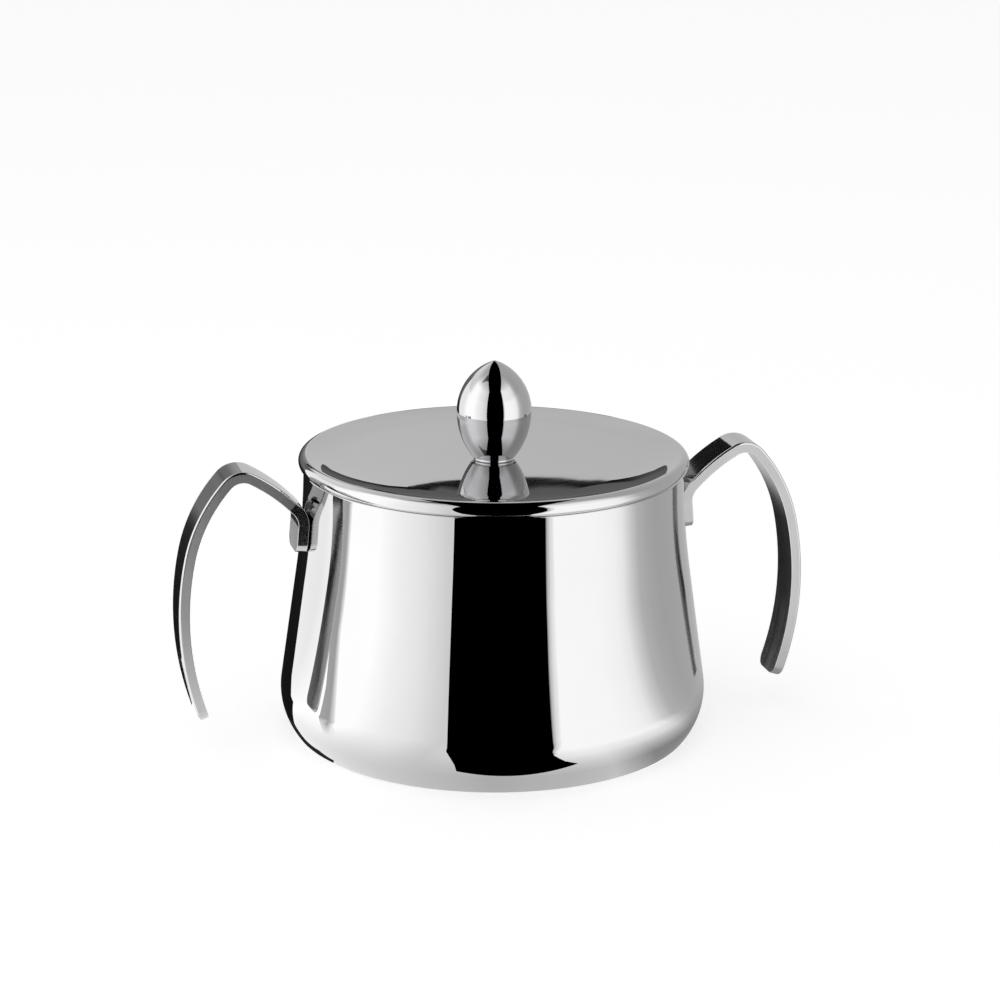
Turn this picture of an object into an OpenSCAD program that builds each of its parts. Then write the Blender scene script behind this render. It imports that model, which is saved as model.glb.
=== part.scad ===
// Covered sugar bowl in polished steel sheet. A bell-shaped drawn bowl carries two bent strap
// handles, and a pressed lid with a rolled edge drops into its mouth on a locating ring.
// The lid's knob is held by one screw from below.
// Millimetres, +Z up, origin at the centre of the foot on the table, handles along X.

/* [Bowl] */
// Largest outside diameter, just above the foot
belly_d = 90; // [80:0.5:110]
// Height of the largest diameter above the table
belly_h = 9.6; // [8:0.1:12]
// Radius of the round that turns the foot into the flank
corner_r = 14.4; // [13:0.1:18]
// Radius of the edge between that round and the flat foot
foot_edge_r = 2; // [1.2:0.1:3]
// Lean of the straight flank from upright, in degrees
flank_angle = 8.2; // [6:0.1:10]
// Height where the flank starts to sweep upright
sweep_h = 35.8; // [28:0.1:42]
// Height of the mouth above the table
bowl_h = 57.2; // [52:0.1:66]
// How far the mouth lies inside the largest diameter, on each side
mouth_in = 5.3; // [3:0.1:6.5]
// Thickness of the bowl's sheet
bowl_t = 0.8; // [0.5:0.1:1.2]
// Width of the flat ring that the foot stands on
stand_w = 7; // [4:0.5:16]
// Depth of the dished middle of the foot
dish_depth = 1; // [0.4:0.1:2]
// Width of the slope round the dished middle
dish_slope = 3; // [1:0.5:6]

/* [Handles] */
// Width of the strap
strap_w = 9; // [7:0.1:12]
// Thickness of the strap
strap_t = 2.25; // [1.5:0.05:3]
// Bevel along the strap's four edges
strap_bevel = 0.4; // [0.2:0.05:0.6]
// Corner radius at both ends of the strap
strap_end_r = 1.5; // [1:0.1:3.5]
// Height of the welded tab's lower end above the table
tab_h = 41.9; // [38:0.1:44]
// Length of the flat welded tab
tab_len = 5.7; // [4:0.1:8]
// Radius of the bend above the tab, at the middle of the strap
tab_bend_r = 4.6; // [3:0.1:8]
// Angle of the bend above the tab, in degrees
tab_bend_angle = 48; // [40:1:56]
// Radius of the rising arm
arm_r = 37.5; // [30:0.5:50]
// Angle that the rising arm turns through, in degrees
arm_angle = 18; // [12:1:24]
// Radius of the tight bend at the top
peak_r = 4.35; // [3:0.05:8]
// Angle of the tight bend at the top, in degrees
peak_angle = 77; // [65:1:85]
// Radius of the upper half of the leg
upper_leg_r = 33.5; // [25:0.5:45]
// Angle of the upper half of the leg, in degrees
upper_leg_angle = 30; // [22:1:36]
// Radius of the lower half of the leg
lower_leg_r = 63; // [50:0.5:80]
// Angle of the lower half of the leg, in degrees
lower_leg_angle = 30.9; // [20:0.1:32]
// Gap between the tab and the bowl, filled by the weld
weld_gap = 0.05; // [0.02:0.01:0.2]

/* [Lid] */
// How far the lid's edge stands out past the mouth, on each side
lid_over = 1.05; // [0.9:0.05:1.5]
// Radius of the rolled edge
roll_r = 1.57; // [1.3:0.01:2]
// Thickness of the lid's sheet
lid_t = 0.8; // [0.5:0.1:1]
// Width of the rise between the shallow panel and the top of the rolled edge
panel_in = 9.2; // [7:0.1:12]
// Radius that the whole panel is dished to
panel_round = 900; // [600:10:1200]
// Slope of the rise where it meets the rolled edge, in degrees
rise_angle = 11.5; // [9:0.5:15]
// Width of the flat seat turned in under the rolled edge
seat_w = 0.2; // [0.1:0.05:0.25]

/* [Locating ring] */
// Thickness of the ring's sheet
ring_t = 0.8; // [0.5:0.1:1.2]
// Reach of the ring below the mouth
ring_depth = 6; // [3:0.5:12]
// Clearance between the ring and the inside of the mouth
ring_gap = 0.5; // [0.3:0.05:1]
// Width of the flange welded under the rise
flange_w = 8; // [6:0.5:9]
// Outside radius of the bend between flange and wall
ring_bend_r = 1.6; // [1.3:0.1:3]

/* [Knob] */
// Height of the knob above the panel
knob_h = 21; // [16:0.1:28]
// Largest diameter of the knob
knob_d = 15.6; // [12:0.1:20]
// Height of the largest diameter above the panel
knob_mid_h = 10.1; // [8:0.1:13]
// Diameter of the underside of the egg
knob_base_d = 9.2; // [8.4:0.1:11]
// Diameter of the collar that stands on the panel
collar_d = 8.4; // [7:0.1:8.8]
// Height of the collar
collar_h = 0.7; // [0.5:0.1:2]

/* [Knob screw] */
// Diameter of the screw's shank
screw_d = 4; // [3:0.5:4]
// Length of the screw under its head
screw_len = 8; // [6:0.5:10]
// Diameter of the pan head
head_d = 8; // [7:0.1:8.5]
// Height of the pan head
head_h = 2.4; // [1.8:0.1:3]
// Width of the two slots of the cross recess
slot_w = 1; // [0.6:0.1:1.2]
// Length of the two slots of the cross recess
slot_len = 4.4; // [3:0.1:5]
// Depth of the cross recess
slot_depth = 1.4; // [0.8:0.1:1.6]
// Outside diameter of the washer
washer_d = 9; // [8.5:0.5:12]
// Thickness of the washer
washer_t = 0.8; // [0.5:0.1:1]
// Clearance round the shank
screw_gap = 0.15; // [0.05:0.05:0.3]
// Free depth of the knob's hole past the end of the screw
hole_spare = 1.5; // [0.5:0.5:3]

/* [Hidden] */
polished = [0.80, 0.80, 0.81];
plain = [0.62, 0.62, 0.63];
// Largest turn between two neighbouring points of an arc, in degrees
arc_step = 5;
$fn = 96;

// Bowl: centre lines of the arcs
belly_r = belly_d / 2;
mouth_r = belly_r - mouth_in;
corner_c = [belly_r - corner_r, belly_h];
edge_c = [corner_c[0] + sqrt((corner_r - foot_edge_r) ^ 2 - (belly_h - foot_edge_r) ^ 2), foot_edge_r];
edge_angle = atan2(edge_c[1] - corner_c[1], edge_c[0] - corner_c[0]);
flank_start = corner_c + corner_r * unit(flank_angle);
sweep_p = [flank_start[0] - (sweep_h - flank_start[1]) * tan(flank_angle), sweep_h];
mouth_p = [mouth_r, bowl_h];
sweep_r = norm(mouth_p - sweep_p) ^ 2 / (2 * (mouth_p - sweep_p) * unit(flank_angle));
sweep_c = sweep_p + sweep_r * unit(flank_angle);
mouth_n = (sweep_c - mouth_p) / sweep_r;
mouth_angle = atan2(mouth_n[1], mouth_n[0]);
dish_r = edge_c[0] - stand_w;

// Lid: heights and radii
roll_c = [mouth_r + lid_over - roll_r, bowl_h + roll_r];
panel_r = roll_c[0] - panel_in;
panel_angle = asin(panel_r / panel_round);
rise_r = (panel_in - roll_r * sin(rise_angle)) / (sin(rise_angle) - sin(panel_angle));
rise_c = [panel_r - rise_r * sin(panel_angle), roll_c[1] + (roll_r + rise_r) * cos(rise_angle)];
panel_c = [0, rise_c[1] + (panel_round - rise_r) * cos(panel_angle)];
shank_hole_d = screw_d + 2 * screw_gap;
// The knob and its washer stand on a small flat in the middle of the dish
knob_flat_r = max(washer_d, collar_d) / 2 + 0.5;
knob_flat_angle = asin(knob_flat_r / panel_round);
panel_z = panel_c[1] - panel_round * cos(knob_flat_angle);
under_panel_z = panel_z - lid_t;

// Locating ring: its flange follows the underside of the rise
ring_r = mouth_r - bowl_t - ring_gap;
flange_r = rise_r + lid_t + weld_gap;
flange_start = asin((ring_r - flange_w - rise_c[0]) / flange_r);
flange_end = asin((ring_r - ring_bend_r - rise_c[0]) / (flange_r + ring_bend_r));
ring_bend_c = rise_c - (flange_r + ring_bend_r) * unit(90 + flange_end);

// Knob: the two arcs of the egg
knob_r = knob_d / 2;
tip_rise = knob_h - knob_mid_h;
tip_r = (tip_rise ^ 2 + knob_r ^ 2) / (2 * knob_r);
base_fall = knob_mid_h - collar_h;
base_in = knob_r - knob_base_d / 2;
base_r = (base_fall ^ 2 + base_in ^ 2) / (2 * base_in);
head_z = under_panel_z - washer_t;
hole_depth = screw_len - washer_t - lid_t + hole_spare;

// Handle: the strap's bends in order from the bowl, each a radius and an angle
bends = [[tab_bend_r, tab_bend_angle], [arm_r, arm_angle], [peak_r, peak_angle],
         [upper_leg_r, upper_leg_angle], [lower_leg_r, lower_leg_angle]];

function unit(a) = [cos(a), sin(a)];
function steps(turn) = max(4, ceil(abs(turn) / arc_step));
function backwards(list) = [for (i = [len(list) - 1:-1:0]) list[i]];

// A skin is a list of [point, direction that its outside faces]. A round curves away from its
// outside and a hollow curves towards it, so a hollow's centre lies outside the sheet.
function round_arc(c, r, a0, a1) =
    [for (i = [0:steps(a1 - a0)]) let (a = a0 + (a1 - a0) * i / steps(a1 - a0)) [c + r * unit(a), a]];
function hollow_arc(c, r, a0, a1) =
    [for (i = [0:steps(a1 - a0)]) let (a = a0 + (a1 - a0) * i / steps(a1 - a0)) [c - r * unit(a), a]];
function outside(skin) = [for (s = skin) s[0]];
function inside(skin, t) = [for (s = skin) s[0] - t * unit(s[1])];

// Outside of the bowl from the foot to the mouth
bowl_skin = concat(round_arc(edge_c, foot_edge_r, -90, edge_angle),
                   round_arc(corner_c, corner_r, edge_angle, flank_angle),
                   hollow_arc(sweep_c, sweep_r, flank_angle, mouth_angle));
foot = [[0, dish_depth], [dish_r - dish_slope, dish_depth], [dish_r, 0]];

module bowl_body() {
    inner = inside(bowl_skin, bowl_t);
    inner_wall = [for (i = [0:len(inner) - 2]) inner[i]];
    color(polished) rotate_extrude()
        polygon(concat(foot, outside(bowl_skin), [[mouth_r - bowl_t, bowl_h]], backwards(inner_wall),
                       [for (p = backwards(foot)) p + [0, bowl_t]]));
}

// Radius of the bowl's outside at a height on its swept upper flank
function flank_r(z) = sweep_c[0] - sign(sweep_r) * sqrt(sweep_r ^ 2 - (z - sweep_c[1]) ^ 2);

// The strap's stations are [point, heading, narrowing of the half width], from the tab to the free end
tab_low = [flank_r(tab_h), tab_h];
tab_high = [flank_r(tab_h + tab_len), tab_h + tab_len];
tab_heading = atan2(tab_high[1] - tab_low[1], tab_high[0] - tab_low[0]);
tab_start = tab_low - (strap_t / 2 + weld_gap) * side_of(tab_heading);

// Direction to the left of a heading, towards the bowl on the tab
function side_of(h) = [-sin(h), cos(h)];
function bent(p, h, i = 0) = i == len(bends) ? [] :
    let (r = bends[i][0], a = bends[i][1], c = p - r * side_of(h), n = steps(a))
    concat([for (k = [1:n]) [c + r * side_of(h - a * k / n), h - a * k / n, 0]],
           bent(c + r * side_of(h - a), h - a, i + 1));
// Rounded end of the strap: how far in each station lies, and how much narrower it is
end_turns = [0:15:90];
rounded_end = [for (a = end_turns) strap_end_r * [1 - cos(a), 1 - sin(a)]];
tab_stations = [for (e = rounded_end) [tab_start + e[0] * unit(tab_heading), tab_heading, e[1]]];
tab_end = tab_start + tab_len * unit(tab_heading);
bent_stations = concat([[tab_end, tab_heading, 0]], bent(tab_end, tab_heading));
leg_end = bent_stations[len(bent_stations) - 1];
tip_stations = [for (e = backwards(rounded_end))
    [leg_end[0] + (strap_end_r - e[0]) * unit(leg_end[1]), leg_end[1], e[1]]];
strap = concat(tab_stations, bent_stations, [for (i = [1:len(tip_stations) - 1]) tip_stations[i]]);

// Bevelled section of the strap at a station: across the thickness, then along the width
function section(narrower) =
    let (u = strap_t / 2, v = strap_w / 2 - narrower, b = strap_bevel)
    [[b - u, -v], [u - b, -v], [u, b - v], [u, v - b], [u - b, v], [b - u, v], [-u, v - b], [-u, b - v]];

module handle() {
    sides = len(section(0));
    last = len(strap) - 1;
    points = [for (s = strap, q = section(s[2]))
        let (p = s[0] - q[0] * side_of(s[1])) [p[0], q[1], p[1]]];
    walls = [for (i = [0:last - 1], k = [0:sides - 1])
        let (a = i * sides + k, b = i * sides + (k + 1) % sides)
        each [[a, b, b + sides], [a, b + sides, a + sides]]];
    start_cap = [for (k = [1:sides - 2]) [0, k + 1, k]];
    first = last * sides;
    end_cap = [for (k = [1:sides - 2]) [first, first + k, first + k + 1]];
    color(polished) polyhedron(points, concat(walls, start_cap, end_cap));
}

module left_handle() {
    mirror([1, 0, 0]) handle();
}

module right_handle() {
    handle();
}

// Top of the lid from the knob's screw hole, over the dish, up the rise and round the rolled edge
lid_skin = concat([[[shank_hole_d / 2, panel_z], 90]],
                  hollow_arc(panel_c, panel_round, 90 + knob_flat_angle, 90 + panel_angle),
                  hollow_arc(rise_c, rise_r, 90 + panel_angle, 90 + rise_angle),
                  round_arc(roll_c, roll_r, 90 + rise_angle, -90),
                  [[roll_c - [seat_w, roll_r], -90]]);

module lid_cover() {
    color(polished) rotate_extrude()
        polygon(concat(outside(lid_skin), backwards(inside(lid_skin, lid_t))));
}

// Outside of the locating ring: the flange under the rise, the bend and the wall in the mouth
ring_skin = concat(hollow_arc(rise_c, flange_r, 90 + flange_start, 90 + flange_end),
                   round_arc(ring_bend_c, ring_bend_r, 90 + flange_end, 0),
                   [[[ring_r, bowl_h - ring_depth], 0]]);

module lid_ring() {
    color(plain) rotate_extrude()
        polygon(concat(outside(ring_skin), backwards(inside(ring_skin, ring_t))));
}

// Side of the knob from the top of the collar up to the tip
knob_side = concat(round_arc([knob_r - base_r, knob_mid_h], base_r, -asin(base_fall / base_r), 0),
                   round_arc([knob_r - tip_r, knob_mid_h], tip_r, 0, asin(tip_rise / tip_r)));

module knob() {
    color(polished) translate([0, 0, panel_z]) difference() {
        rotate_extrude()
            polygon(concat([[0, 0], [collar_d / 2, 0], [collar_d / 2, collar_h]], outside(knob_side)));
        translate([0, 0, -hole_spare]) cylinder(d = shank_hole_d, h = hole_depth + hole_spare);
    }
}

module knob_washer() {
    color(plain) translate([0, 0, head_z]) difference() {
        cylinder(d = washer_d, h = washer_t);
        translate([0, 0, -washer_t]) cylinder(d = shank_hole_d, h = 3 * washer_t);
    }
}

module knob_screw() {
    // Radius of the sphere that crowns the pan head
    crown_rise = head_h / 2;
    crown_r = (crown_rise ^ 2 + (head_d / 2) ^ 2) / (2 * crown_rise);
    crown = round_arc([0, crown_r - head_h], crown_r, -90, -90 + asin(head_d / 2 / crown_r));
    color(plain) translate([0, 0, head_z]) difference() {
        rotate_extrude()
            polygon(concat(outside(crown), [[head_d / 2, 0], [screw_d / 2, 0], [screw_d / 2, screw_len],
                           [0, screw_len]]));
        for (turn = [0, 90]) rotate(turn)
            translate([-slot_len / 2, -slot_w / 2, -2 * head_h])
                cube([slot_len, slot_w, head_h + slot_depth]);
    }
}

bowl_body();
left_handle();
right_handle();
lid_cover();
lid_ring();
knob();
knob_washer();
knob_screw();
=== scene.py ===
import math

import bpy
from mathutils import Matrix, Vector


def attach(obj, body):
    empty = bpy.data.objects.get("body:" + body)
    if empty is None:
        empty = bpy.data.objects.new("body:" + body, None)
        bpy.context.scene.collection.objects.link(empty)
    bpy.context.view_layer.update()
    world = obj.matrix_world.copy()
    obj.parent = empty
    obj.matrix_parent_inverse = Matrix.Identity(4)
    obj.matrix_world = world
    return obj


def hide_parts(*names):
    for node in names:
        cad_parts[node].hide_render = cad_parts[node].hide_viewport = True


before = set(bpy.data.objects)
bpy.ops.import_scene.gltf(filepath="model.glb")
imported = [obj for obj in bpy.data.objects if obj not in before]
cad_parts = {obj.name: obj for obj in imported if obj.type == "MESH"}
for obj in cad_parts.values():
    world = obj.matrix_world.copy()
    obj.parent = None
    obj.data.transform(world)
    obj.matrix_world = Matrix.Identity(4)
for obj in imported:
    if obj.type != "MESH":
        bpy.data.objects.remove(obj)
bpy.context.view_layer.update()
scene = bpy.context.scene
scene.view_settings.view_transform = "Standard"
mm = 0.001
tiny = 1e-9         # lengths in mm that differ by less than this count as the same
print("frame loaded:", sorted(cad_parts))

# camera: the photograph's viewing angle, in degrees and millimetres, and its clipping in metres
cameraView = {"azimuth": -14.64, "elevation": 15.79, "roll": 0.41, "distance": 640.0,
              "aimRight": 1.36, "aimHeight": 49.72, "lens": 109.91, "sensor": 36.0,
              "clipStart": 0.01, "clipEnd": 20.0}


def cameraAxes():
    turn, rise = math.radians(cameraView["azimuth"]), math.radians(cameraView["elevation"])
    right = Vector((math.cos(turn), math.sin(turn), 0.0))
    back = Vector((math.sin(turn) * math.cos(rise), -math.cos(turn) * math.cos(rise), math.sin(rise)))
    return right, back.cross(right), back


def placeCamera():
    right, up, back = cameraAxes()
    aim = right * cameraView["aimRight"] + Vector((0.0, 0.0, cameraView["aimHeight"]))
    place = (aim + back * cameraView["distance"]) * mm
    roll = math.radians(cameraView["roll"])
    across = right * math.cos(roll) + up * math.sin(roll)
    upright = up * math.cos(roll) - right * math.sin(roll)
    data = bpy.data.cameras.new("studioCamera")
    data.lens, data.sensor_width, data.sensor_fit = cameraView["lens"], cameraView["sensor"], "HORIZONTAL"
    data.clip_start, data.clip_end = cameraView["clipStart"], cameraView["clipEnd"]
    eye = bpy.data.objects.new("studioCamera", data)
    scene.collection.objects.link(eye)
    eye.matrix_world = Matrix((
        (across.x, upright.x, back.x, place.x),
        (across.y, upright.y, back.y, place.y),
        (across.z, upright.z, back.z, place.z),
        (0.0, 0.0, 0.0, 1.0)))
    scene.camera = eye


placeCamera()
print("camera placed")


# outlines: points of (radius, height, direction that the surface faces), in mm and degrees
def arc(centre, radius, start, end, step, hollow=False):
    count = max(3, math.ceil(abs(end - start) / step))
    side = -1.0 if hollow else 1.0
    points = []
    for i in range(count + 1):
        facing = start + (end - start) * i / count
        a = math.radians(facing)
        points.append((centre[0] + side * radius * math.cos(a),
                       centre[1] + side * radius * math.sin(a), facing))
    return points


def straight(start, end, facing):
    return [(start[0], start[1], facing), (end[0], end[1], facing)]


def offsetSkin(skin, thickness):
    moved = []
    for r, z, facing in reversed(skin):
        a = math.radians(facing)
        moved.append((r - thickness * math.cos(a), z - thickness * math.sin(a), facing + 180.0))
    return moved


def makeMesh(name, points, faces, normals):
    mesh = bpy.data.meshes.new(name)
    mesh.from_pydata([[c * mm for c in p] for p in points], [], faces, shade_flat=False)
    mesh.normals_split_custom_set([n for face in normals for n in face])
    mesh.update()
    piece = bpy.data.objects.new(name, mesh)
    scene.collection.objects.link(piece)
    return piece


# one closed outline turned about the upright axis, with its normals worked out from the outline
def turnOutline(name, runs, around):
    points, rings, faces, normals = [], {}, [], []
    steps = [2 * math.pi * k / around for k in range(around)]
    turns = [(math.cos(step), math.sin(step)) for step in steps]

    def ringAt(r, z):
        key = (round(r, 4), round(z, 4))
        if key not in rings:
            first = len(points)
            if r < tiny:
                points.append((0.0, 0.0, z))
                rings[key] = [first] * around
            else:
                points.extend((r * c, r * s, z) for c, s in turns)
                rings[key] = [first + k for k in range(around)]
        return rings[key]

    def facingAt(facing, k):
        c, s = turns[k % around]
        a = math.radians(facing)
        return (math.cos(a) * c, math.cos(a) * s, math.sin(a))

    for run in runs:
        for (r0, z0, f0), (r1, z1, f1) in zip(run, run[1:]):
            low, high = ringAt(r0, z0), ringAt(r1, z1)
            if low is high:
                continue
            for k in range(around):
                n = (k + 1) % around
                corners = [(low[k], facingAt(f0, k)), (low[n], facingAt(f0, n)),
                           (high[n], facingAt(f1, n)), (high[k], facingAt(f1, k))]
                kept = []
                for corner in corners:
                    if corner[0] not in [c[0] for c in kept]:
                        kept.append(corner)
                a, b, d = (Vector(points[kept[i][0]]) for i in range(3))
                if (b - a).cross(d - a).dot(Vector(kept[1][1]) + Vector(kept[2][1])) < 0:
                    kept.reverse()
                faces.append([c[0] for c in kept])
                normals.append([c[1] for c in kept])
    return makeMesh(name, points, faces, normals)


# bowl: drawn sheet, from the dished foot over the round belly to the mouth. Its belly is 0.01 mm smaller
# than the solid's, so that it stays inside the solid's box
bowl = {"bellyR": 44.99, "bellyZ": 9.6, "cornerR": 14.4, "footEdgeR": 2.0, "flankLean": 8.2,
        "sweepZ": 35.8, "height": 57.2, "mouthR": 39.7, "sheet": 0.8,
        "standWidth": 7.0, "dishDepth": 1.0, "dishSlope": 3.0, "dishRound": 2.5, "rimRound": 0.3,
        "around": 288}


def unit(degrees):
    return math.cos(math.radians(degrees)), math.sin(math.radians(degrees))


def bowlSweep():
    lean = unit(bowl["flankLean"])
    corner = (bowl["bellyR"] - bowl["cornerR"], bowl["bellyZ"])
    flankStart = (corner[0] + bowl["cornerR"] * lean[0], corner[1] + bowl["cornerR"] * lean[1])
    sweepR = flankStart[0] - (bowl["sweepZ"] - flankStart[1]) * lean[1] / lean[0]
    rise = (bowl["mouthR"] - sweepR, bowl["height"] - bowl["sweepZ"])
    radius = (rise[0] ** 2 + rise[1] ** 2) / (2 * (rise[0] * lean[0] + rise[1] * lean[1]))
    centre = (sweepR + radius * lean[0], bowl["sweepZ"] + radius * lean[1])
    return corner, centre, radius


def makeBowl():
    corner, sweepCentre, sweepRadius = bowlSweep()
    reach = bowl["cornerR"] - bowl["footEdgeR"]
    drop = bowl["bellyZ"] - bowl["footEdgeR"]
    edge = (corner[0] + math.sqrt(reach ** 2 - drop ** 2), bowl["footEdgeR"])
    edgeFacing = math.degrees(math.atan2(edge[1] - corner[1], edge[0] - corner[0]))
    mouthFacing = math.degrees(math.asin((sweepCentre[1] - bowl["height"]) / sweepRadius))
    # the dish is a flat middle, a short slope with rounded ends and the flat ring it stands on
    dishR = edge[0] - bowl["standWidth"]
    lean = math.degrees(math.atan2(bowl["dishDepth"], bowl["dishSlope"]))
    ease = bowl["dishRound"] * math.tan(math.radians(lean / 2))
    topR = dishR - bowl["dishSlope"] - ease
    lowR = dishR + ease
    skin = [(0.0, bowl["dishDepth"], -90.0)]
    skin += arc((topR, bowl["dishDepth"] - bowl["dishRound"]), bowl["dishRound"], -90.0, -90.0 - lean,
                step=3, hollow=True)
    skin += arc((lowR, bowl["dishRound"]), bowl["dishRound"], -90.0 - lean, -90.0, step=3)
    skin += arc(edge, bowl["footEdgeR"], -90.0, edgeFacing, step=4)
    skin += arc(corner, bowl["cornerR"], edgeFacing, bowl["flankLean"], step=1.5)
    skin += arc(sweepCentre, sweepRadius, bowl["flankLean"], mouthFacing, step=0.35, hollow=True)
    inside = offsetSkin(skin, bowl["sheet"])
    # the mouth's edge is ground flat and its two corners are broken
    top, soft = bowl["height"], bowl["rimRound"]
    outR, inR = bowl["mouthR"], bowl["mouthR"] - bowl["sheet"]
    cut = [p for p in skin if p[1] < top - soft]
    cutIn = [p for p in inside if p[1] < top - soft]
    rim = arc((outR - soft, top - soft), soft, 0.0, 90.0, step=15)
    rim += arc((inR + soft, top - soft), soft, 90.0, 180.0, step=15)
    cut.append((outR, top - soft, 0.0))
    cutIn.insert(0, (inR, top - soft, 180.0))
    return turnOutline("bowlShell", [cut, rim, cutIn], bowl["around"])


# lid: pressed sheet, a shallow dish that rises to a rolled edge, which rests on the mouth
lid = {"over": 1.05, "rollR": 1.57, "sheet": 0.8, "riseWidth": 9.2, "dishR": 900.0, "riseSlope": 11.5,
       "seatWidth": 0.2, "holeR": 2.15, "flatR": 5.0, "flatEase": 0.4, "around": 288}


def lidSection():
    roll = (bowl["mouthR"] + lid["over"] - lid["rollR"], bowl["height"] + lid["rollR"])
    panelR = roll[0] - lid["riseWidth"]
    slope = math.radians(lid["riseSlope"])
    dishSlope = math.asin(panelR / lid["dishR"])
    riseR = (lid["riseWidth"] - lid["rollR"] * math.sin(slope)) / (math.sin(slope) - math.sin(dishSlope))
    rise = (panelR - riseR * math.sin(dishSlope), roll[1] + (lid["rollR"] + riseR) * math.cos(slope))
    dish = (0.0, rise[1] + (lid["dishR"] - riseR) * math.cos(dishSlope))
    return roll, rise, riseR, dish, math.degrees(dishSlope)


# height of the small flat that the knob stands on
panelZ = lidSection()[3][1] - math.sqrt(lid["dishR"] ** 2 - lid["flatR"] ** 2)


def makeLid():
    rollCentre, riseCentre, riseR, dishCentre, dishSlope = lidSection()
    flatSlope = math.degrees(math.asin(lid["flatR"] / lid["dishR"]))
    skin = [(lid["holeR"], panelZ, 90.0), (lid["flatR"] - lid["flatEase"], panelZ, 90.0)]
    skin += arc(dishCentre, lid["dishR"], 90.0 + flatSlope, 90.0 + dishSlope, step=0.1, hollow=True)
    skin += arc(riseCentre, riseR, 90.0 + dishSlope, 90.0 + lid["riseSlope"], step=0.5, hollow=True)
    skin += arc(rollCentre, lid["rollR"], 90.0 + lid["riseSlope"], -90.0, step=4)
    skin += [(rollCentre[0] - lid["seatWidth"], bowl["height"], -90.0)]
    under = offsetSkin(skin, lid["sheet"])
    end = straight(skin[-1], under[0], 180.0)
    hole = straight(under[-1], skin[0], 180.0)
    return turnOutline("lidSheet", [skin, end, under, hole], lid["around"])


# locating ring: flanged ring under the rise of the lid
ring = {"gap": 0.5, "sheet": 0.8, "depth": 6.0, "flange": 8.0, "bendR": 1.6, "weldGap": 0.05,
        "around": 192}


def makeRing():
    outR = bowl["mouthR"] - bowl["sheet"] - ring["gap"]
    low = bowl["height"] - ring["depth"]
    _, rise, riseR, _, _ = lidSection()
    flangeR = riseR + lid["sheet"] + ring["weldGap"]
    bendReach = flangeR + ring["bendR"]
    start = math.degrees(math.asin((outR - ring["flange"] - rise[0]) / flangeR))
    end = math.degrees(math.asin((outR - ring["bendR"] - rise[0]) / bendReach))
    bend = (rise[0] - bendReach * unit(90.0 + end)[0], rise[1] - bendReach * unit(90.0 + end)[1])
    skin = arc(rise, flangeR, 90.0 + start, 90.0 + end, step=1.0, hollow=True)
    skin += arc(bend, ring["bendR"], 90.0 + end, 0.0, step=6)
    skin += [(outR, low, 0.0)]
    under = offsetSkin(skin, ring["sheet"])
    lowEdge = straight(skin[-1], under[0], -90.0)
    flangeEdge = straight(under[-1], skin[0], 180.0)
    return turnOutline("locatingRing", [skin, lowEdge, under, flangeEdge], ring["around"])


# knob: turned egg on a short collar, drilled from below for its screw
knob = {"height": 21.0, "widestR": 7.8, "widestZ": 10.1, "baseR": 4.6, "collarR": 4.2, "collarZ": 0.7,
        "coveTurn": 60.0, "tipRound": 0.8, "holeR": 2.15, "holeDepth": 7.9, "around": 160}


def makeKnob():
    z0 = panelZ
    up = knob["height"] - knob["widestZ"]
    tipR = (up ** 2 + knob["widestR"] ** 2) / (2 * knob["widestR"])
    down = knob["widestZ"] - knob["collarZ"]
    narrow = knob["widestR"] - knob["baseR"]
    lowR = (down ** 2 + narrow ** 2) / (2 * narrow)
    tipFacing = math.degrees(math.asin(up / tipR))
    lowFacing = -math.degrees(math.asin(down / lowR))
    middle = z0 + knob["widestZ"]
    side = arc((knob["widestR"] - lowR, middle), lowR, lowFacing, 0.0, step=1.5)
    side += arc((knob["widestR"] - tipR, middle), tipR, 0.0, tipFacing, step=1.5)
    # the tip's point is eased off by a small ball
    ball = knob["tipRound"]
    tipX = knob["widestR"] - tipR
    ballZ = middle + math.sqrt((tipR - ball) ** 2 - tipX ** 2)
    ballFacing = math.degrees(math.atan2(ballZ - middle, -tipX))
    side = [p for p in side if p[2] < ballFacing] + arc((0.0, ballZ), ball, ballFacing, 90.0, step=4)
    # the collar is turned as a small cove
    cove = math.radians(knob["coveTurn"])
    coveR = knob["collarZ"] / 2 / math.sin(cove)
    coveX = knob["collarR"] + coveR * math.cos(cove)
    collar = arc((coveX, z0 + knob["collarZ"] / 2), coveR, knob["coveTurn"], -knob["coveTurn"],
                 step=8, hollow=True)
    under = straight((knob["collarR"], z0 + knob["collarZ"]), (side[0][0], side[0][1]), -90.0)
    hole = straight((0.0, z0 + knob["holeDepth"]), (knob["holeR"], z0 + knob["holeDepth"]), -90.0)
    bore = straight((knob["holeR"], z0 + knob["holeDepth"]), (knob["holeR"], z0), 180.0)
    foot = straight((knob["holeR"], z0), (knob["collarR"], z0), -90.0)
    return turnOutline("knobEgg", [hole, bore, foot, collar, under, side], knob["around"])


# handle: one flat strap with softened edges, bent from the tab on the bowl to its free end. Its thickness is
# 0.01 mm less than the solid's, so that it stays inside the solid's box. Bends are radius and angle
strap = {"width": 9.0, "thick": 2.24, "softR": 0.4, "sharpR": 0.12, "endRun": 1.5, "endR": 2.2,
         "tabZ": 41.9, "tabLength": 5.7, "weldGap": 0.05,
         "bends": [(4.6, 48.0), (37.5, 18.0), (4.35, 77.0), (33.5, 30.0), (63.0, 30.9)],
         "bendStep": 2.0, "flatStep": 3.0, "cornerSteps": 6, "edgeSteps": 5}
# which finish each face of a strap gets, in the order of its materials: the outside of the bends and all edges,
# the walls and the tab's free face, or the inside of the bends and the walls of the left tab
onOutside, onWalls, onInside = 0, 1, 2
strapFaces = {}


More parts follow.
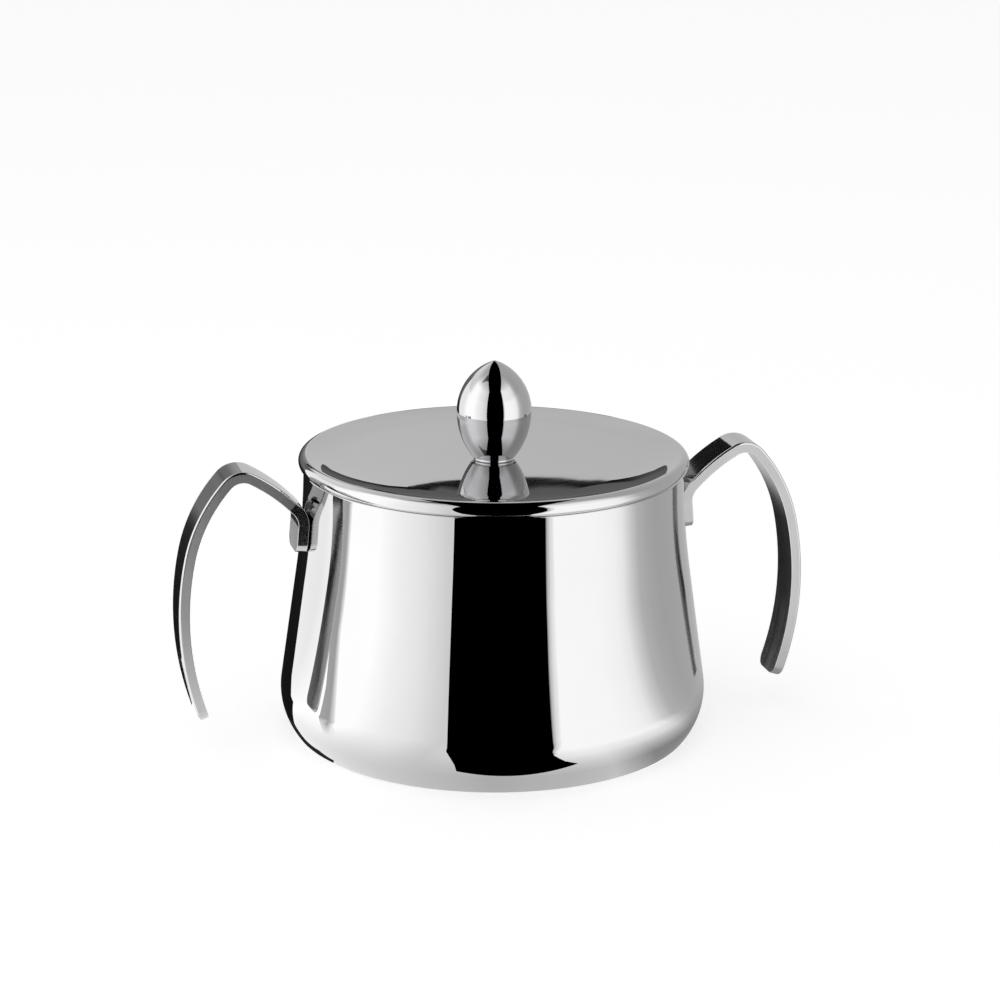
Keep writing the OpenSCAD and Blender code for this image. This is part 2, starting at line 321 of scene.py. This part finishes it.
def strapPath():
    _, centre, radius = bowlSweep()

    def flank(z):
        return centre[0] - math.sqrt(radius ** 2 - (z - centre[1]) ** 2)

    low = (flank(strap["tabZ"]), strap["tabZ"])
    high = (flank(strap["tabZ"] + strap["tabLength"]), strap["tabZ"] + strap["tabLength"])
    heading = math.atan2(high[1] - low[1], high[0] - low[0])
    off = strap["thick"] / 2 + strap["weldGap"]
    x, z = low[0] + off * math.sin(heading), low[1] - off * math.cos(heading)
    bends = [(r, math.radians(a)) for r, a in strap["bends"]]
    pieces = [(0.0, strap["tabLength"])] + bends + [(0.0, strap["endRun"])]
    spans, length = [], 0.0
    for radius, extent in pieces:
        run = extent if radius == 0.0 else radius * extent
        spans.append((length, run, radius, x, z, heading))
        if radius == 0.0:
            x, z = x + run * math.cos(heading), z + run * math.sin(heading)
        else:
            cx, cz = x + radius * math.sin(heading), z - radius * math.cos(heading)
            heading -= extent
            x, z = cx - radius * math.sin(heading), cz + radius * math.cos(heading)
        length += run
    return spans, length


def strapPoint(spans, s):
    span = [one for one in spans if one[0] <= s + tiny][-1]
    start, run, radius, x, z, heading = span
    gone = min(max(s - start, 0.0), run)
    if radius == 0.0:
        return x + gone * math.cos(heading), z + gone * math.sin(heading), heading
    cx, cz = x + radius * math.sin(heading), z - radius * math.cos(heading)
    heading -= gone / radius
    return cx - radius * math.sin(heading), cz + radius * math.cos(heading), heading


def makeHandle(name, side):
    spans, length = strapPath()
    half, endR = strap["width"] / 2, strap["endR"]
    tabEnd, armStart = spans[1][0], spans[2][0]
    corners = range(strap["cornerSteps"] + 1)

    # stations along the strap: distance, half width and the outline's facing there (along, across)
    def cornerStation(end, way, i):
        a = math.radians(90.0 * i / strap["cornerSteps"])
        return (end + way * endR * (1 - math.cos(a)), half - endR * (1 - math.sin(a)),
                -way * math.cos(a), math.sin(a))

    stations = [cornerStation(0.0, 1.0, i) for i in corners]
    for start, run, radius, *_ in spans:
        turn = run if radius == 0.0 else math.degrees(run / radius)
        count = max(2, math.ceil(turn / strap["bendStep" if radius else "flatStep"]))
        for i in range(1, count + 1):
            s = start + run * i / count
            if endR + tiny < s < length - endR - tiny:
                stations.append((s, half, 0.0, 1.0))
    stations += [cornerStation(length, -1.0, i) for i in reversed(corners)]
    # levels through the thickness: side and facing. Shearing leaves the outside of the bend soft and the
    # inside sharp
    edgeTurns = [90.0 * i / strap["edgeSteps"] for i in range(strap["edgeSteps"] + 1)]
    levels = [(-1.0, math.radians(turn - 90.0)) for turn in edgeTurns]
    levels += [(1.0, math.radians(turn)) for turn in edgeTurns]
    # round the strap: out along its front wall and back along its rear wall
    loop = [(station, -1.0) for station in stations] + [(station, 1.0) for station in reversed(stations)]
    points, facings = [], []
    for end, a in levels:
        for (s, w, alongN, acrossN), lr in loop:
            edgeR = strap["softR"] if end > 0 and s > armStart else strap["sharpR"]
            depth = end * (strap["thick"] / 2 - edgeR) + edgeR * math.sin(a)
            inset = edgeR * (1 - math.cos(a))
            x, z, heading = strapPoint(spans, s - inset * alongN)
            inward = (math.sin(heading), -math.cos(heading))
            v = lr * (w - inset * acrossN)
            points.append((side * (x - depth * inward[0]), v, z - depth * inward[1]))
            n = (math.cos(a) * alongN, math.sin(a), lr * math.cos(a) * acrossN)
            facings.append((side * (n[0] * math.cos(heading) - n[1] * inward[0]), n[2],
                            n[0] * math.sin(heading) - n[1] * inward[1]))
    size, count = len(loop), len(stations)
    wall = len(levels) // 2 - 1
    faces, finish = [], []
    for k in range(len(levels) - 1):
        for i in range(size):
            j = (i + 1) % size
            if k != wall:
                finish.append(onOutside)
            else:
                finish.append(onWalls if loop[i][0][0] > armStart or side > 0 else onInside)
            faces.append([k * size + i, k * size + j, (k + 1) * size + j, (k + 1) * size + i])
    for base in (0, (len(levels) - 1) * size):
        for i in range(count - 1):
            if base:
                finish.append(onOutside)
            else:
                finish.append(onWalls if stations[i][0] < tabEnd else onInside)
            faces.append([base + i, base + i + 1, base + size - 2 - i, base + size - 1 - i])
    normals = []
    for face in faces:
        a, b, c, d = (Vector(points[i]) for i in face)
        if (c - a).cross(d - b).dot(sum((Vector(facings[i]) for i in face), Vector())) < 0:
            face.reverse()
        normals.append([facings[i] for i in face])
    made = makeMesh(name, points, faces, normals)
    strapFaces[made] = finish
    return made


bowlShell = makeBowl()
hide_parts("bowl_body")
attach(bowlShell, "bowl")
leftStrap = makeHandle("leftStrap", -1.0)
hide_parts("left_handle")
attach(leftStrap, "bowl")
rightStrap = makeHandle("rightStrap", 1.0)
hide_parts("right_handle")
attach(rightStrap, "bowl")
lidSheet = makeLid()
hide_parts("lid_cover")
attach(lidSheet, "lid")
locatingRing = makeRing()
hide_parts("lid_ring")
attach(locatingRing, "lid")
knobEgg = makeKnob()
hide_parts("knob")
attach(knobEgg, "lid")
print("pieces made")


def linear(hexColour):
    channels = [int(hexColour[i:i + 2], 16) / 255.0 for i in (1, 3, 5)]
    return [c / 12.92 if c <= 0.04045 else ((c + 0.055) / 1.055) ** 2.4 for c in channels] + [1.0]


# adds a node with its settings; an input is a number, a colour or another node's output
def addNode(tree, kind, settings=None, inputs=None):
    made = tree.nodes.new(kind)
    for key, value in (settings or {}).items():
        setattr(made, key, value)
    for key, value in (inputs or {}).items():
        if isinstance(value, bpy.types.NodeSocket):
            tree.links.new(value, made.inputs[key])
        else:
            made.inputs[key].default_value = value
    return made


def newTree(name):
    made = bpy.data.materials.new(name)
    made.use_nodes = True
    made.node_tree.nodes.clear()
    return made, made.node_tree


# stainless steel, buffed to a mirror: sharp reflections, slightly veiled along the lines that the
# wheel left, and a trace of waviness from the drawing of the sheet
mirrorSteel = {"bright": "#CBCBCC", "dull": "#C5C5C6", "gloss": 0.006, "veil": 0.016,
               "lineMm": 0.9,       # real buffing lines are about 0.05 mm apart, drawn coarser to show
               "alongStrip": 0.03,  # how little the lines on a strip change along its length
               "cloudMm": 18.0, "waveMm": 11.0, "waveHighMm": 0.0012}
# stainless strip, sheared and then polished along its length: the same mirror with a little more veil
polishedStrip = dict(mirrorSteel, gloss=0.02, veil=0.06, lineMm=0.7, waveMm=7.0)
# the inside of the bends and the walls of the left tab, where the wheel does not reach well: a clouded mirror
insideStrip = dict(polishedStrip, gloss=0.13, veil=0.2)
# sheared walls of the strip and the tab's free face, linished before the bends: satin, with lines along
# the strip
satinWall = dict(mirrorSteel, bright="#B6B6B6", dull="#AAAAAA", gloss=0.38, veil=0.48, lineMm=0.3,
                 waveMm=5.0, waveHighMm=0.002)
# stainless sheet left as pressed: a soft sheen with fine rings from the tool
brightPressing = dict(mirrorSteel, bright="#B8B8B7", dull="#ACACAA", gloss=0.16, veil=0.3, lineMm=0.5,
                      waveMm=6.0, waveHighMm=0.004)
# plain steel fastener, turned and tumbled: grey and dull
tumbledSteel = dict(mirrorSteel, bright="#A6A5A2", dull="#979693", gloss=0.28, veil=0.42, lineMm=0.4,
                    waveMm=2.0, waveHighMm=0.004)


def steel(name, look, lines):
    made, tree = newTree(name)
    place = addNode(tree, "ShaderNodeTexCoord").outputs["Object"]
    if lines == "turned":
        # the wheel goes round the upright axis, so lines follow radius and height only
        split = addNode(tree, "ShaderNodeSeparateXYZ", inputs={0: place})
        flat = addNode(tree, "ShaderNodeVectorMath", {"operation": "MULTIPLY"},
                       {0: place, 1: (1.0, 1.0, 0.0)})
        reach = addNode(tree, "ShaderNodeVectorMath", {"operation": "LENGTH"}, {0: flat.outputs["Vector"]})
        along = addNode(tree, "ShaderNodeCombineXYZ",
                        inputs={0: reach.outputs["Value"], 1: split.outputs["Z"]})
    else:
        # the strip is polished along its length, so lines follow its width and hardly change along it
        along = addNode(tree, "ShaderNodeVectorMath", {"operation": "MULTIPLY"},
                        {0: place, 1: (look["alongStrip"], 1.0, look["alongStrip"])})
    buffing = addNode(tree, "ShaderNodeTexNoise", inputs={
        "Vector": along.outputs["Vector"], "Scale": 1.0 / (look["lineMm"] * mm),
        "Detail": 2.0, "Roughness": 0.6})
    cloud = addNode(tree, "ShaderNodeTexNoise", inputs={
        "Vector": place, "Scale": 1.0 / (look["cloudMm"] * mm), "Detail": 3.0, "Roughness": 0.55})
    both = addNode(tree, "ShaderNodeMath", {"operation": "MULTIPLY"},
                   {0: buffing.outputs["Fac"], 1: cloud.outputs["Fac"]})
    veil = addNode(tree, "ShaderNodeMapRange", inputs={
        "Value": both.outputs[0], "From Min": 0.12, "From Max": 0.4,
        "To Min": look["gloss"], "To Max": look["veil"]})
    tint = addNode(tree, "ShaderNodeMix", {"data_type": "RGBA"},
                   {0: cloud.outputs["Fac"], 6: linear(look["dull"]), 7: linear(look["bright"])})
    wave = addNode(tree, "ShaderNodeTexNoise", inputs={
        "Vector": place, "Scale": 1.0 / (look["waveMm"] * mm), "Detail": 0.0})
    bump = addNode(tree, "ShaderNodeBump", inputs={
        "Strength": 1.0, "Distance": look["waveHighMm"] * mm, "Height": wave.outputs["Fac"]})
    shader = addNode(tree, "ShaderNodeBsdfPrincipled", inputs={
        "Base Color": tint.outputs[2], "Metallic": 1.0, "Roughness": veil.outputs["Result"],
        "Normal": bump.outputs["Normal"]})
    addNode(tree, "ShaderNodeOutputMaterial", inputs={"Surface": shader.outputs["BSDF"]})
    return made


mirrorBowl = steel("stainlessMirrorBuffed", mirrorSteel, "turned")
mirrorStrap = steel("stainlessStripPolished", polishedStrip, "strip")
satinStrap = steel("stainlessWallLinished", satinWall, "strip")
insideStrap = steel("stainlessStripClouded", insideStrip, "strip")
pressed = steel("stainlessAsPressed", brightPressing, "turned")
fastener = steel("steelTumbled", tumbledSteel, "turned")
finishes = {bowlShell: mirrorBowl, lidSheet: mirrorBowl, knobEgg: mirrorBowl, leftStrap: mirrorStrap,
            rightStrap: mirrorStrap, locatingRing: pressed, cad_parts["knob_washer"]: fastener,
            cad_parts["knob_screw"]: fastener}
for piece, finish in finishes.items():
    piece.data.materials.clear()
    piece.data.materials.append(finish)
    if finish is mirrorStrap:
        piece.data.materials.append(satinStrap)
        piece.data.materials.append(insideStrap)
        for face, kind in zip(piece.data.polygons, strapFaces[piece]):
            face.material_index = kind
print("finishes made:", len(finishes))


# studio: round the bowl stand cards that only its polish sees. Directions are in degrees from the camera,
# positive to the right of the picture, and levels are light, where 1 shows nearly white in the steel
right, _, _ = cameraAxes()
forward = Vector((right.y, -right.x, 0.0))


def studioPoint(turn, reach, height):
    across, ahead = math.sin(math.radians(turn)), math.cos(math.radians(turn))
    return (right * across + forward * ahead) * reach + Vector((0.0, 0.0, height))


cardStrength = 1.25     # light of a card at level 1
cardGlow, tree = newTree("cardGlow")
level = addNode(tree, "ShaderNodeAttribute", {"attribute_name": "level"})
glow = addNode(tree, "ShaderNodeEmission", inputs={"Color": level.outputs["Color"], "Strength": cardStrength})
addNode(tree, "ShaderNodeOutputMaterial", inputs={"Surface": glow.outputs["Emission"]})


# a card is a sheet of columns, each a row of points with the level of light at that point
def makeCard(name, columns, closed=False):
    rows = len(columns[0])
    points = [[c * mm for c in place] for column in columns for place, _ in column]
    faces = []
    for i in range(len(columns) if closed else len(columns) - 1):
        here, after = rows * i, rows * ((i + 1) % len(columns))
        faces += [[here + k, here + k + 1, after + k + 1, after + k] for k in range(rows - 1)]
    mesh = bpy.data.meshes.new(name)
    mesh.from_pydata(points, [], faces)
    shade = mesh.color_attributes.new("level", "FLOAT_COLOR", "POINT")
    for i, value in enumerate(value for column in columns for _, value in column):
        shade.data[i].color = (value, value, value, 1.0)
    mesh.materials.append(cardGlow)
    card = bpy.data.objects.new(name, mesh)
    scene.collection.objects.link(card)
    card.visible_camera = card.visible_diffuse = card.visible_shadow = False


# the light tent: floor, wall and ceiling all round. Its light goes by direction ("far"), with stops of its own
# for the floor at the bowl's foot ("foot"): painted shadow, the bowl's contact shadow on the floor as the polish
# sees it, darker close to the foot. Stops high up scale it ("high"), and overhead it evens out to one
# level ("top"). Rows are reach, height and the parts of foot shadow, high and top
tent = {"far": [(-180, 0.545), (-166, 0.62), (-152, 0.9), (-140, 1.03), (-110, 1.07), (-92, 1.36), (-66, 1.36),
                (-52, 1.17), (-38, 1.04), (-23, 0.82), (30, 1.28), (58, 1.26), (70, 1.2), (76, 1.08), (82, 0.8),
                (88, 0.58), (96, 0.5), (104, 0.46), (150, 0.46), (180, 0.545)],
        "high": [(-180, 1.05), (-150, 0.9), (-125, 0.78), (-104, 0.75), (-86, 1.0), (-50, 0.95), (40, 0.9),
                 (80, 0.85), (125, 1.0), (150, 1.0), (180, 1.05)],
        # painted shadow: the floor's light right round the bowl's foot, by direction, darker where the bowl shades
        # it
        "foot": [(-180, 0.25), (-140, 0.5), (-120, 0.85), (-100, 0.98), (-65, 1.0), (-54, 0.95), (-38, 0.84),
                 (-21, 0.7), (0, 0.57), (26, 0.63), (38, 0.7), (46, 0.5), (55, 0.3), (80, 0.24), (120, 0.2),
                 (180, 0.25)],
        "top": 0.45, "step": 1,
        "rows": [(40.0, 0.4, 1.0, 0, 0.0), (46.0, 0.4, 1.0, 0, 0.0), (50.0, 0.4, 0.75, 0, 0.0),
                 (58.0, 0.4, 0.3, 0, 0.0), (74.0, 0.4, 0.0, 0, 0.0), (600.0, 0.4, 0.0, 0, 0.0),
                 (600.0, 280.0, 0.0, 0, 0.0),
                 (600.0, 340.0, 0.0, 1, 0.0), (600.0, 600.0, 0.0, 1, 0.0), (430.0, 600.0, 0.0, 1, 0.5),
                 (340.0, 600.0, 0.0, 1, 0.75), (140.0, 600.0, 0.0, 0, 1.0), (2.0, 600.0, 0.0, 0, 1.0)]}


def stopLevel(stops, turn):
    for (a, la), (b, lb) in zip(stops, stops[1:]):
        if a <= turn <= b:
            return la + (lb - la) * (turn - a) / (b - a)


def makeTent():
    columns = []
    for turn in range(-180, 180, tent["step"]):
        far, foot, high = (stopLevel(tent[key], turn) for key in ("far", "foot", "high"))
        column = []
        # near the foot the floor's light is drawn down to the foot stops, a painted contact shadow
        for reach, height, footShadowPart, highPart, topPart in tent["rows"]:
            light = far * (1 + (high - 1) * highPart)
            column.append((studioPoint(turn, reach, height),
                           light + (foot - light) * footShadowPart + (tent["top"] - light) * topPart))
        columns.append(column)
    makeCard("lightTent", columns, closed=True)


lie, hang = 0.8, 580    # heights in mm of the cards on the floor and of those overhead
# flags and small cards: columns of (right, ahead, up, level) in mm, seen from above with the camera ahead
flags = {
    # black, from the bowl's foot to the camera, up and back overhead: the dark stripe down the front
    "frontFlag": [[(-8.6, 47.6, lie, 0), (-10.2, 51.2, lie, 0), (-12.9, 56, lie, 0), (-16.2, 62, lie, 0),
                   (-21, 71, lie, 0), (-29, 91, lie, 0), (-69, 186, lie, 0), (-199, 489, lie, 0),
                   (-199, 489, hang, 0), (-165, -30, hang, 0), (-120, -400, hang, 0)],
                  [(22.6, 44.8, lie, 0), (21, 49, lie, 0), (21.4, 53, lie, 0), (22.4, 58, lie, 0),
                   (26, 65, lie, 0), (36, 80, lie, 0), (85, 160, lie, 0), (262, 463, lie, 0),
                   (262, 463, hang, 0), (185, -30, hang, 0), (140, -400, hang, 0)]],
    # the soft edge at the right of that stripe
    "softEdge": [[(22.4, 58, lie, 0.3), (26, 65, lie, 0.3), (36, 80, lie, 0.3), (85, 160, lie, 0.3),
                  (262, 463, lie, 0.3), (262, 463, hang, 0.3)],
                 [(22.6, 57.9, lie, 0.65), (26.4, 64.9, lie, 0.65), (36.6, 79.7, lie, 0.65), (86.8, 159, lie, 0.65),
                  (268, 459, lie, 0.65), (268, 459, hang, 0.65)],
                 [(23.2, 57.7, lie, 0.95), (27.2, 64.5, lie, 0.95), (38, 79, lie, 0.95), (90.5, 157, lie, 0.95),
                  (280, 451, lie, 0.95), (280, 451, hang, 0.95)],
                 [(24.5, 57.2, lie, 1.25), (28.8, 64, lie, 1.25), (40.5, 78, lie, 1.25), (97, 154, lie, 1.25),
                  (301, 438, lie, 1.25), (301, 438, hang, 1.25)]],
    # black, away to the left and behind: the dark left edge of the bowl and the back of the left strap
    "rearFlag": [[(-46, 8, lie, 0.008), (-67, -7, lie, 0.008), (-80, -31, lie, 0.008),
                  (-348, -365, lie, 0.03), (-348, -365, 15, 0.06), (-348, -365, 45, 0.19),
                  (-348, -365, 105, 0.2), (-348, -365, 150, 0.1), (-348, -365, 230, 0.05), (-348, -365, 320, 0.95)],
                 [(-44, -20, lie, 0.008), (-48, -50, lie, 0.008), (-52, -90, lie, 0.008),
                  (-94, -497, lie, 0.01), (-94, -497, 15, 0.01), (-94, -497, 30, 0.012),
                  (-94, -497, 60, 0.03), (-94, -497, 120, 0.15), (-94, -497, 190, 0.3), (-94, -497, 250, 0.5)]],
    # a line of shade across the floor at the left: the second, paler band beside the strap's reflection
    "floorStrip": [[(-47, 25, lie, 1.12), (-62, 21, lie, 0.95), (-84, 15, lie, 0.5), (-140, 8, lie, 0.47),
                    (-252, -18, lie, 0.47), (-330, -45, lie, 0.47)],
                   [(-48, 27.5, lie, 1.12), (-68, 25, lie, 0.5), (-92, 24, lie, 0.45), (-148, 18, lie, 0.45),
                    (-254, 3, lie, 0.45), (-340, -5, lie, 0.45)],
                   [(-49, 30, lie, 1.15), (-74, 29, lie, 1.2), (-97, 31, lie, 1.1), (-154, 27, lie, 1.2),
                    (-257, 16, lie, 1.25), (-345, 14, lie, 1.25)]],
    # the shade that the bowl keeps on the floor at its left
    "footShade": [[(-33, 27, lie, 0.02), (-31.4, 25.7, lie, 0.02)],
                  [(-37, 22.5, lie, 0.02), (-34.7, 21.1, lie, 0.02)],
                  [(-40.5, 16.5, lie, 0.02), (-37.6, 15.3, lie, 0.02)],
                  [(-46, 8, lie, 0.02), (-40, 6.9, lie, 0.02)],
                  [(-46, -16, lie, 0.02), (-38.4, -13.3, lie, 0.02)]],
    # what the top of the right strap's arm shows
    "armFlag": [[(-228, -420, 205, 0.01), (-228, -420, 255, 0.01)],
                [(-103, -484, 262, 0.01), (-103, -484, 312, 0.01)]],
    # a boom overhead at the left, a smear beside the stripe on the knob
    "boomCard": [[(-380, 75, 570, 0.4), (-380, 125, 570, 0.4)], [(-270, 45, 570, 0.15), (-270, 130, 570, 0.15)],
                 [(-170, 0, 570, 0.06), (-170, 170, 570, 0.06)]],
    # the dark floor behind the bowl, fading to the right: the inner side of the right strap
    "rearFloor": [[(-66, -220, lie, 0.01), (-50, -74, lie, 0.01)], [(18, -190, lie, 0.012), (18, -74, lie, 0.012)],
                  [(28, -150, lie, 0.05), (28, -85, lie, 0.05)], [(33, -150, lie, 0.24), (33, -85, lie, 0.24)],
                  [(38, -150, lie, 0.4), (38, -85, lie, 0.4)], [(45, -150, lie, 0.5), (45, -85, lie, 0.5)]]}
# an upright dark card behind, which the front of the lid's dish shows as a crescent. Its rows are height and
# level, and its crest is a list of (right, height, depth of the dark line under the crest, depth of its fade,
# level of the line)
rearCard = {"behind": 150.0, "rows": [(lie, 0.01), (30.0, 0.03), (50.0, 0.11)], "plateau": 0.105,
            "crest": [(-33.6, 90.5, 2.0, 4.0, 0.07), (-32.9, 86.6, 2.0, 4.0, 0.07), (-31.7, 84.6, 3.0, 4.0, 0.07),
                      (-30.2, 83.8, 3.0, 5.0, 0.06), (-28.2, 84.3, 4.0, 5.0, 0.04), (-26.2, 86.0, 4.0, 5.0, 0.03),
                      (-24.0, 88.6, 6.0, 6.0, 0.015), (-22.0, 94.6, 7.0, 6.0, 0.01), (-20.9, 97.93, 7.0, 6.0, 0.01),
                      (-19.5, 97.96, 6.0, 6.0, 0.01), (-18.0, 98.02, 0.9, 3.0, 0.01), (-15.6, 98.09, 0.3, 0.5, 0.01),
                      (-13.2, 98.16, 0.25, 0.3, 0.01), (-9.6, 98.2, 0.4, 0.4, 0.01), (-6.0, 98.22, 0.6, 0.5, 0.01),
                      (8.0, 98.36, 0.5, 0.4, 0.01), (10.8, 98.4, 0.4, 0.35, 0.01), (15.6, 98.45, 0.36, 0.35, 0.01),
                      (18.0, 98.43, 0.36, 0.35, 0.01), (20.4, 98.42, 0.4, 0.5, 0.01), (22.8, 98.46, 0.6, 0.9, 0.01),
                      (25.2, 98.54, 2.0, 3.0, 0.01), (27.6, 98.54, 8.0, 8.0, 0.01), (28.7, 94.8, 8.0, 8.0, 0.015),
                      (29.9, 91.9, 6.0, 6.0, 0.04), (31.0, 90.1, 4.0, 5.0, 0.06), (32.4, 89.8, 2.0, 4.0, 0.07),
                      (33.0, 91.5, 2.0, 4.0, 0.07)]}


def makeRearCard():
    columns = []
    for across, top, line, fade, dark in rearCard["crest"]:
        rows = rearCard["rows"] + [(top - line - fade, rearCard["plateau"]), (top - line, dark), (top, dark)]
        foot = right * across - forward * rearCard["behind"]
        columns.append([(foot + Vector((0.0, 0.0, z)), value) for z, value in rows])
    makeCard("rearCard", columns)


makeTent()
makeRearCard()
for name, columns in flags.items():
    makeCard(name, [[(right * u + forward * v + Vector((0.0, 0.0, z)), value) for u, v, z, value in column]
                    for column in columns])
print("cards placed")


# 1 where the camera or the polish looks at a surface, 0 where the surface only lights others
def lookedAt(tree):
    ray = addNode(tree, "ShaderNodeLightPath")
    seen = addNode(tree, "ShaderNodeMath", {"operation": "MAXIMUM"},
                   {0: ray.outputs["Is Camera Ray"], 1: ray.outputs["Is Glossy Ray"]})
    seen = addNode(tree, "ShaderNodeMath", {"operation": "MAXIMUM"},
                   {0: seen.outputs[0], 1: ray.outputs["Is Transmission Ray"]})
    return seen.outputs[0]


# floor: matt white laminate with a faint grain, which carries the bowl's soft shadow. It is lifted to the
# white of the backdrop where it is looked at
laminate = {"dark": "#F4F4F4", "light": "#FAFAFA", "grainMm": 1.5, "lift": 0.56, "halfWidth": 6.0}
floorMade, tree = newTree("matteWhiteLaminate")
place = addNode(tree, "ShaderNodeTexCoord").outputs["Object"]
grain = addNode(tree, "ShaderNodeTexNoise", inputs={
    "Vector": place, "Scale": 1.0 / (laminate["grainMm"] * mm), "Detail": 2.0})
paint = addNode(tree, "ShaderNodeMix", {"data_type": "RGBA"},
                {0: grain.outputs["Fac"], 6: linear(laminate["dark"]), 7: linear(laminate["light"])})
matt = addNode(tree, "ShaderNodeBsdfDiffuse", inputs={"Color": paint.outputs[2]})
lift = addNode(tree, "ShaderNodeMath", {"operation": "MULTIPLY"}, {0: lookedAt(tree), 1: laminate["lift"]})
lifted = addNode(tree, "ShaderNodeEmission", inputs={"Color": linear("#FFFFFF"), "Strength": lift.outputs[0]})
total = addNode(tree, "ShaderNodeAddShader", inputs={0: matt.outputs["BSDF"], 1: lifted.outputs["Emission"]})
addNode(tree, "ShaderNodeOutputMaterial", inputs={"Surface": total.outputs["Shader"]})
floorMesh = bpy.data.meshes.new("studioFloor")
far = laminate["halfWidth"]
floorMesh.from_pydata([(-far, -far, 0), (far, -far, 0), (far, far, 0), (-far, far, 0)], [], [[0, 1, 2, 3]])
floorMesh.materials.append(floorMade)
studioFloor = bpy.data.objects.new("studioFloor", floorMesh)
scene.collection.objects.link(studioFloor)

# lights: one wide overhead panel that the polish does not see, its side in metres, and a white room
lamp = {"turn": -40.0, "reach": 260.0, "height": 900.0, "side": 0.9, "power": 0.8}
lampData = bpy.data.lights.new("overheadPanel", "AREA")
lampData.shape, lampData.size, lampData.energy = "SQUARE", lamp["side"], lamp["power"]
overheadPanel = bpy.data.objects.new("overheadPanel", lampData)
scene.collection.objects.link(overheadPanel)
overheadPanel.location = studioPoint(lamp["turn"], lamp["reach"], lamp["height"]) * mm
overheadPanel.rotation_euler = (-overheadPanel.location).to_track_quat("-Z", "Y").to_euler()
overheadPanel.visible_glossy = False
overheadPanel.visible_camera = False

room = {"lighting": 0.42, "lookedAt": 1.0}
world = bpy.data.worlds.new("whiteRoom")
scene.world = world
world.use_nodes = True
tree = world.node_tree
tree.nodes.clear()
strength = addNode(tree, "ShaderNodeMapRange", inputs={
    "Value": lookedAt(tree), "To Min": room["lighting"], "To Max": room["lookedAt"]})
sky = addNode(tree, "ShaderNodeBackground", inputs={
    "Color": linear("#FFFFFF"), "Strength": strength.outputs["Result"]})
addNode(tree, "ShaderNodeOutputWorld", inputs={"Surface": sky.outputs["Background"]})
print("studio lit")
